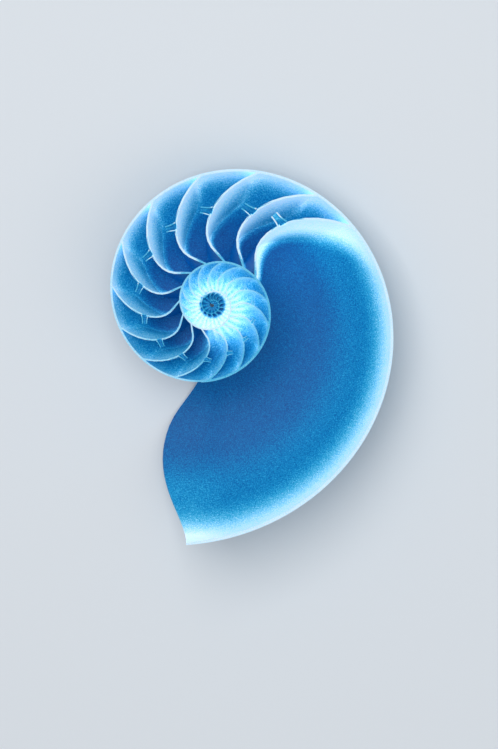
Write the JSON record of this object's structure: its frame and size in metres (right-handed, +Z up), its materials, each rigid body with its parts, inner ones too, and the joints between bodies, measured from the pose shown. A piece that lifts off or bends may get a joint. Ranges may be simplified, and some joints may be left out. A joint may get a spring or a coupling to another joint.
{
  "type": "nautilus shell half",
  "caption": "Half of a chambered nautilus shell, sawn along its plane of symmetry to show the spiral of chambers and the open body chamber; lies on its rounded flank.",
  "frame": {"origin": "on the surface it rests on, under the middle of its box", "axes": "+Z up, the sawn face facing up and leaning about ten degrees; +Y along the shell's length, away from the aperture; +X towards the outer wall of the body chamber"},
  "size_m": [0.1268, 0.166, 0.0505],
  "materials": {
    "shell": "satin, pearly"
  },
  "bodies": {
    "root": {"shell_half": "shell"}
  },
  "joints": []
}
